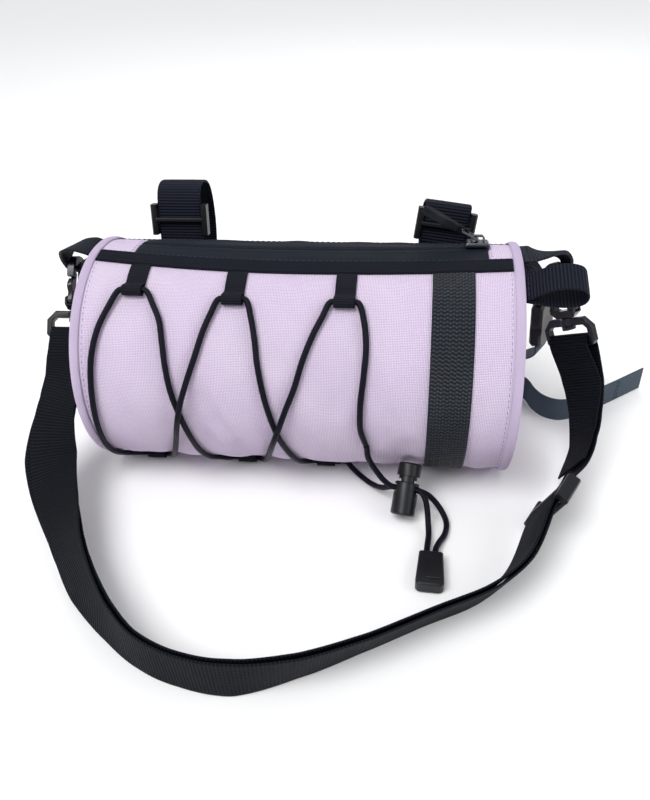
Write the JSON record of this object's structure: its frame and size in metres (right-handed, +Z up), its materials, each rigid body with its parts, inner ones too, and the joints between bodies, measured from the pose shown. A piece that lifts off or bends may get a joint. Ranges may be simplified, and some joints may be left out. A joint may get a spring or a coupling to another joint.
{
  "type": "handlebar barrel bag",
  "caption": "Lilac canvas barrel bag for a handlebar, with black webbing, a laced elastic cord in front and a clipped-on shoulder strap lying in a loop before it.",
  "frame": {"origin": "middle of the bottom binding strip, on the surface that the bag stands on", "axes": "+X along the barrel to its right end, -Y to the front with the lacing, +Z up"},
  "size_m": [0.3473, 0.254, 0.1375],
  "materials": {
    "lilac_canvas": "matte woven canvas",
    "black_canvas": "matte woven canvas",
    "zip_tape": "coated zip tape, slight sheen",
    "black_webbing": "ribbed webbing",
    "slate_webbing": "ribbed webbing",
    "elastic_cord": "braided elastic cord",
    "black_plastic": "satin moulded plastic",
    "zip_metal": "black coated metal",
    "zip_pull": "soft moulded pull"
  },
  "bodies": {
    "bag": {"front_panel": "lilac_canvas", "rear_panel": "black_canvas", "bottom_binding": "black_canvas", "top_binding": "black_canvas", "zip_tape_front": "zip_tape", "zip_tape_rear": "zip_tape", "zip_coil": "zip_tape", "zip_end_patch_left": "lilac_canvas", "zip_end_patch_right": "lilac_canvas", "end_panel_left": "lilac_canvas", "piping_left": "lilac_canvas", "end_panel_right": "lilac_canvas", "piping_right": "lilac_canvas", "front_webbing": "black_webbing", "top_tab_1": "black_webbing", "top_tab_2": "black_webbing", "top_tab_3": "black_webbing", "bottom_tab_1": "black_webbing", "bottom_tab_2": "black_webbing", "bottom_tab_3": "black_webbing", "lacing_cord": "elastic_cord", "cord_lock_barrel": "black_plastic", "cord_strand_a": "elastic_cord", "cord_strand_b": "elastic_cord", "cord_end": "black_plastic", "hook_ring_left": "black_plastic", "hook_body_left": "black_plastic", "hook_ring_right": "black_plastic", "hook_body_right": "black_plastic", "end_loop_left": "black_webbing", "end_loop_right": "black_webbing", "grab_loop_right": "black_webbing", "shoulder_strap": "black_webbing", "strap_slider": "black_plastic", "handlebar_strap_left": "black_webbing", "handlebar_slider_left": "black_plastic", "handlebar_strap_right": "black_webbing", "handlebar_slider_right": "black_plastic", "stabiliser_buckle": "black_plastic", "stabiliser_anchor": "black_webbing", "stabiliser_tail": "slate_webbing", "zip_slider": "zip_metal"},
    "zip_pull": {"zip_pull_loop": "zip_metal", "zip_pull_tab": "zip_pull"},
    "lock_plunger": {"cord_lock_plunger": "black_plastic"},
    "gate_left": {"hook_gate_left": "black_plastic"},
    "gate_right": {"hook_gate_right": "black_plastic"}
  },
  "joints": [
    {"name": "zip_pull_swing", "type": "hinge", "parent": "bag", "child": "zip_pull", "pos_m": [0.088, 0.01075, 0.12138], "axis": [0, 0.9855, -0.1698], "range_deg": [-16, 120]},
    {"name": "lock_press", "type": "slide", "parent": "bag", "child": "lock_plunger", "axis": [-0.1274, -0.6902, -0.7123], "range_m": [0, 0.003], "stiffness_N_per_m": 400},
    {"name": "gate_left_open", "type": "hinge", "parent": "bag", "child": "gate_left", "pos_m": [-0.127, -0.00444, 0.0897], "axis": [-1, 0, 0], "range_deg": [0, 20], "stiffness_Nm_per_rad": 0.02},
    {"name": "gate_right_open", "type": "hinge", "parent": "bag", "child": "gate_right", "pos_m": [0.14021, 0.00944, 0.08512], "axis": [-0.7426, -0.6679, 0.0505], "range_deg": [0, 20], "stiffness_Nm_per_rad": 0.02}
  ]
}
